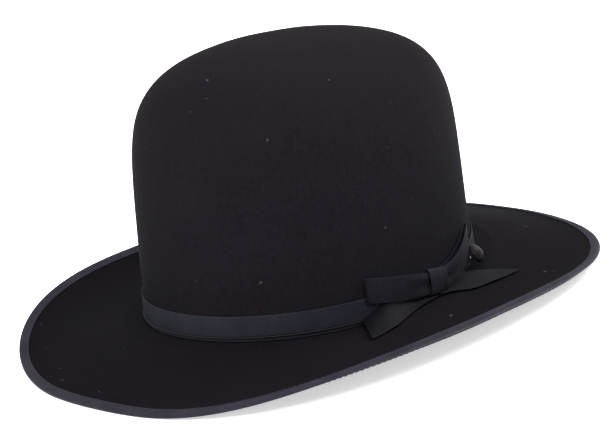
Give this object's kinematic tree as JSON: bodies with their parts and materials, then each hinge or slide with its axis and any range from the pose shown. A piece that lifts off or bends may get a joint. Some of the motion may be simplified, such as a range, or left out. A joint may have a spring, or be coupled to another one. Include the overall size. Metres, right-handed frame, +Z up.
{
  "type": "bowler hat",
  "caption": "Tall open-crown felt hat with a ribbon-bound curled brim, ribbon band, side bow, guard button, sweatband and lining.",
  "frame": {"origin": "on the surface the hat stands on, below the middle of the brim", "axes": "+Z up; -Y towards the front of the hat; +X towards the wearer's left, where the bow is"},
  "size_m": [0.3024, 0.353, 0.1611],
  "materials": {
    "felt": "matt brushed fur felt",
    "binding_ribbon": "ribbed grosgrain",
    "band_ribbon": "ribbed grosgrain",
    "bow_ribbon": "ribbed grosgrain",
    "thread": "sewing thread",
    "guard_cord": "braided elastic",
    "button": "polished",
    "shank_metal": "bright wire",
    "leather": "smooth tan",
    "reed": "plain",
    "tape": "woven tape",
    "trim_ribbon": "satin ribbon",
    "paper_tag": "blank card",
    "lining": "satin",
    "piping": "satin covered cord",
    "clear_shield": "clear sheet"
  },
  "bodies": {
    "hat": {"felt_body": "felt", "brim_binding": "binding_ribbon", "band_under_ribbon": "band_ribbon", "band_upper_ribbon": "band_ribbon", "band_tack_stitches": "thread", "guard_cord": "guard_cord", "guard_eyelet": "thread", "bow_front_loop": "bow_ribbon", "bow_rear_loop": "bow_ribbon", "bow_knot": "bow_ribbon", "bow_tack_stitches": "thread", "sweatband_leather": "leather", "sweatband_reed": "reed", "sweatband_reed_tape": "tape", "sweatband_back_seam": "tape", "sweatband_bow": "trim_ribbon", "size_tag": "paper_tag", "lining_side": "lining", "lining_tip": "lining", "lining_piping": "piping", "tip_shield": "clear_shield"},
    "front_tail": {"bow_front_tail": "bow_ribbon"},
    "rear_tail": {"bow_rear_tail": "bow_ribbon"},
    "guard": {"guard_lead": "guard_cord", "guard_button": "button", "guard_button_shank": "shank_metal"}
  },
  "joints": [
    {"name": "front_tail_lift", "type": "hinge", "parent": "hat", "child": "front_tail", "pos_m": [0.0899, 0.0009, 0.0132], "axis": [-0.17, 0, 0.9854], "range_deg": [0, 20]},
    {"name": "rear_tail_lift", "type": "hinge", "parent": "hat", "child": "rear_tail", "pos_m": [0.0886, 0.0185, 0.0132], "axis": [0.17, 0, -0.9854], "range_deg": [0, 20]},
    {"name": "guard_swing", "type": "hinge", "parent": "hat", "child": "guard", "pos_m": [0.0801, 0.0508, 0.0154], "axis": [-0.4, 0.9165, 0], "range_deg": [0, 20], "stiffness_Nm_per_rad": 0.002, "springref_deg": -11.46}
  ]
}
